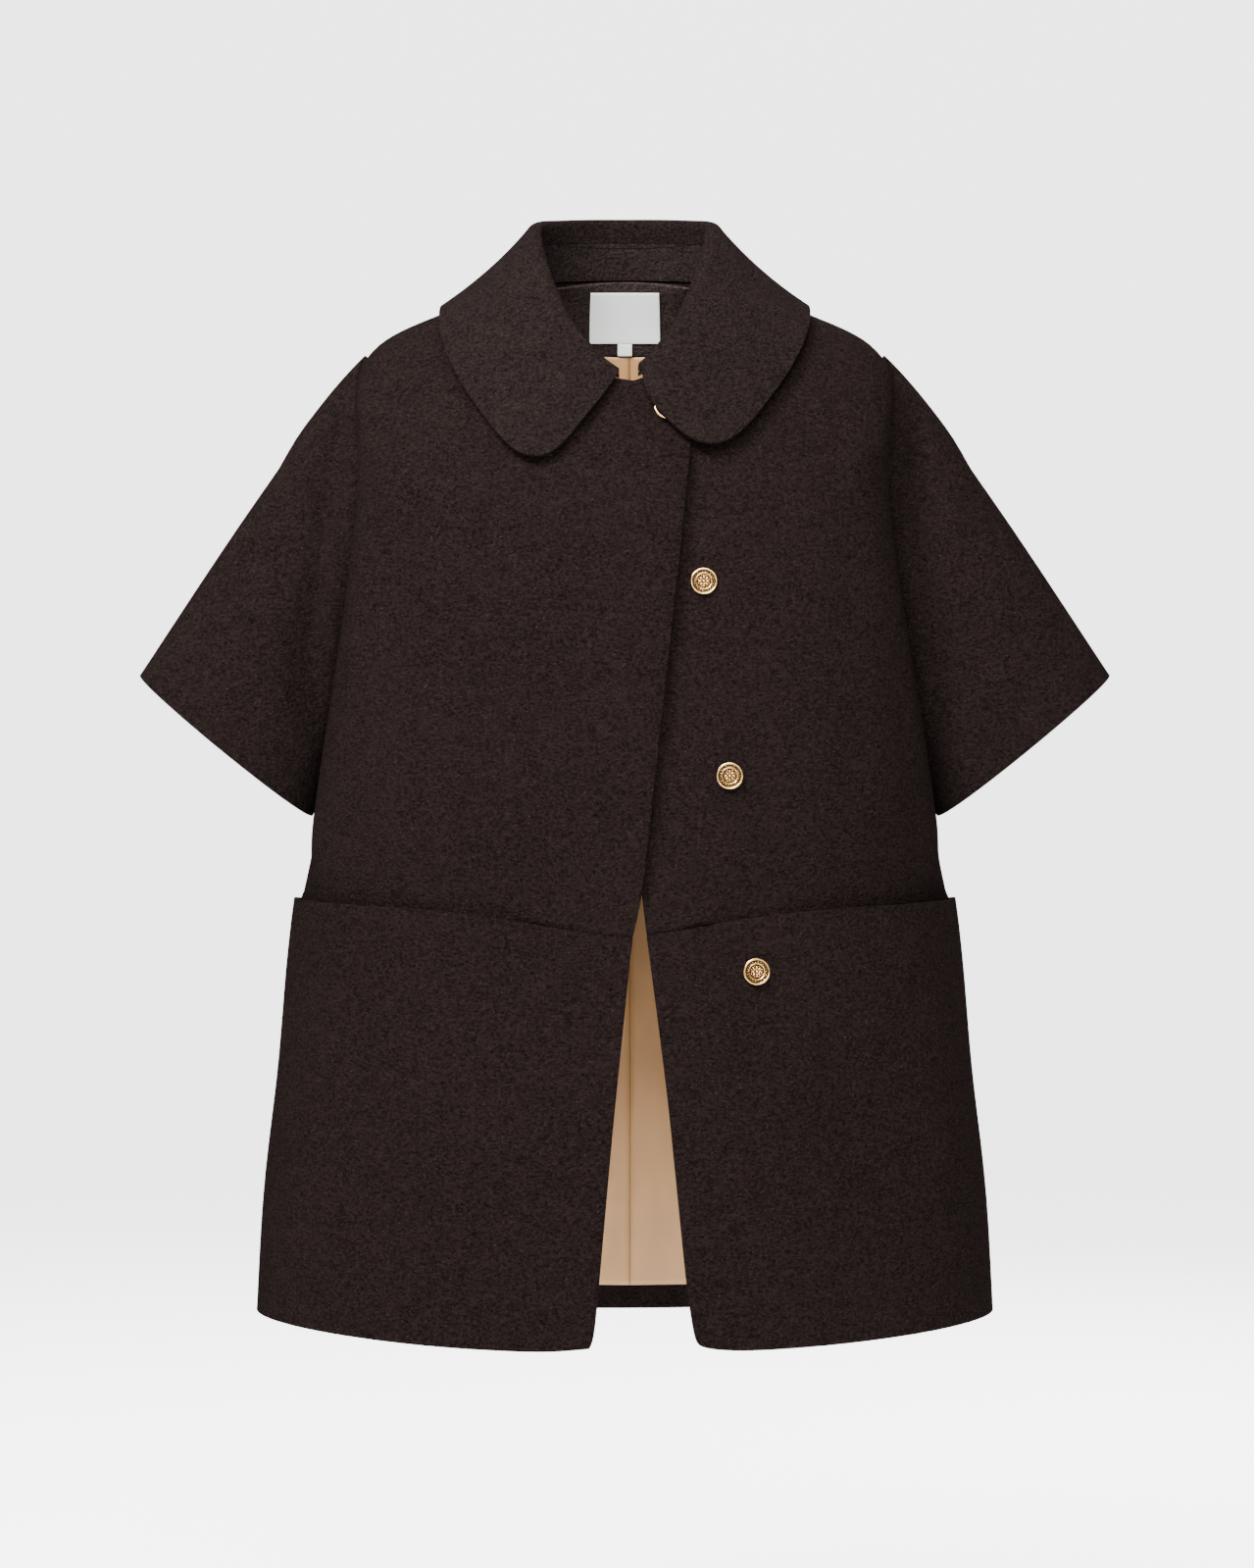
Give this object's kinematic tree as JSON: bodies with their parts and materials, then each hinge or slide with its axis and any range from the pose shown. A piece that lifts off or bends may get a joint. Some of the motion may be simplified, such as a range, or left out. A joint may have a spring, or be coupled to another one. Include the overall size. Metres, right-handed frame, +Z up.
{
  "type": "short wool coat",
  "caption": "Short dark wool coat with a rounded flat collar, wide half-length sleeves, side pockets at the waist, a curved open front edge and round metal buttons, filled out as worn.",
  "frame": {"origin": "middle of the neck opening, level with the back neck seam, where neck and shoulders carry the coat", "axes": "+Z up the coat, -Y out of its front, +X toward the wearer's left sleeve"},
  "size_m": [0.755, 0.2983, 0.8676],
  "materials": {
    "wool": "napped dark brown wool",
    "lining": "tan satin",
    "label": "bare white woven tape",
    "button_gold": "warm gold"
  },
  "bodies": {
    "root": {"front_right": "wool", "front_left": "wool", "lower_front_right": "wool", "lower_front_left": "wool", "pocket_bag_right": "wool", "pocket_bag_left": "wool", "back": "wool", "sleeve_right": "wool", "sleeve_left": "wool", "collar_stand": "wool", "collar": "wool", "neck_facing": "wool", "lining_right": "lining", "lining_left": "lining", "label": "label", "size_tab": "label", "button_1": "button_gold", "button_2": "button_gold", "button_3": "button_gold", "button_4": "button_gold"}
  },
  "joints": []
}
